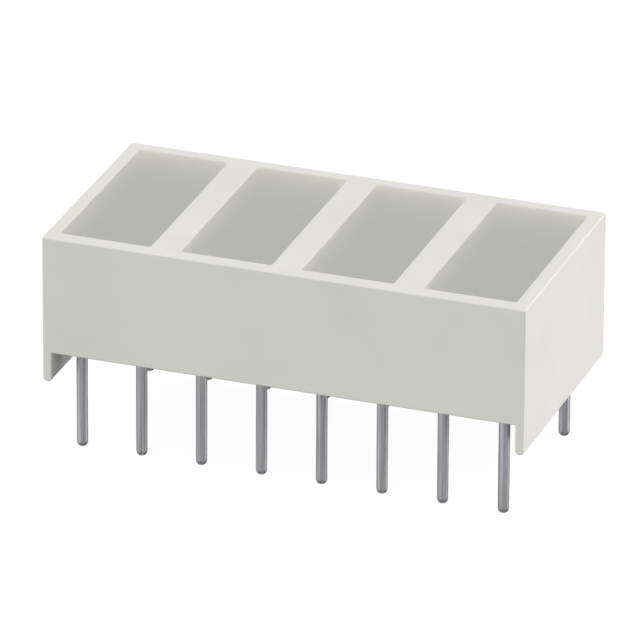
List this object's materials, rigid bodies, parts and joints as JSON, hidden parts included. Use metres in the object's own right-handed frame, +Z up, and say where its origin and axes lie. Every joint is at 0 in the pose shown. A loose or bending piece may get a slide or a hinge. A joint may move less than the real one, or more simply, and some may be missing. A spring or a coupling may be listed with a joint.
{
  "type": "led light bar display",
  "caption": "Low white rectangular housing with milky rectangular light areas side by side in its top face, standing on rows of straight wire leads for a circuit board.",
  "frame": {"origin": "centre of the plane that the feet stand on, which is the circuit board's surface, midway between the lead rows", "axes": "+X along the package, +Y across it away from the viewer in the picture, +Z up, out of the lit face"},
  "size_m": [0.0202, 0.01, 0.0095],
  "materials": {
    "white_moulding": "white moulded plastic, satin",
    "milky_resin": "diffusing epoxy, milky grey, satin",
    "board_laminate": "glass cloth laminate",
    "tinned_copper": "etched copper",
    "tinned_wire": "tinned wire, satin",
    "solder": "tin solder",
    "sealing_resin": "poured epoxy",
    "silver_resin": "silver filled resin",
    "die_crystal": "sawn crystal",
    "gold_wire": "drawn gold wire"
  },
  "bodies": {
    "root": {"housing": "white_moulding", "window_fill_1": "milky_resin", "window_fill_2": "milky_resin", "window_fill_3": "milky_resin", "window_fill_4": "milky_resin", "circuit_board": "board_laminate", "copper_tracks": "tinned_copper", "lead_01": "tinned_wire", "lead_02": "tinned_wire", "lead_03": "tinned_wire", "lead_04": "tinned_wire", "lead_05": "tinned_wire", "lead_06": "tinned_wire", "lead_07": "tinned_wire", "lead_08": "tinned_wire", "lead_09": "tinned_wire", "lead_10": "tinned_wire", "lead_11": "tinned_wire", "lead_12": "tinned_wire", "lead_13": "tinned_wire", "lead_14": "tinned_wire", "lead_15": "tinned_wire", "lead_16": "tinned_wire", "solder_joints": "solder", "back_seal": "sealing_resin", "die_bonds": "silver_resin", "led_die_1": "die_crystal", "led_die_2": "die_crystal", "led_die_3": "die_crystal", "led_die_4": "die_crystal", "led_die_5": "die_crystal", "led_die_6": "die_crystal", "led_die_7": "die_crystal", "led_die_8": "die_crystal", "bond_wire_1": "gold_wire", "bond_wire_2": "gold_wire", "bond_wire_3": "gold_wire", "bond_wire_4": "gold_wire", "bond_wire_5": "gold_wire", "bond_wire_6": "gold_wire", "bond_wire_7": "gold_wire", "bond_wire_8": "gold_wire"}
  },
  "joints": []
}
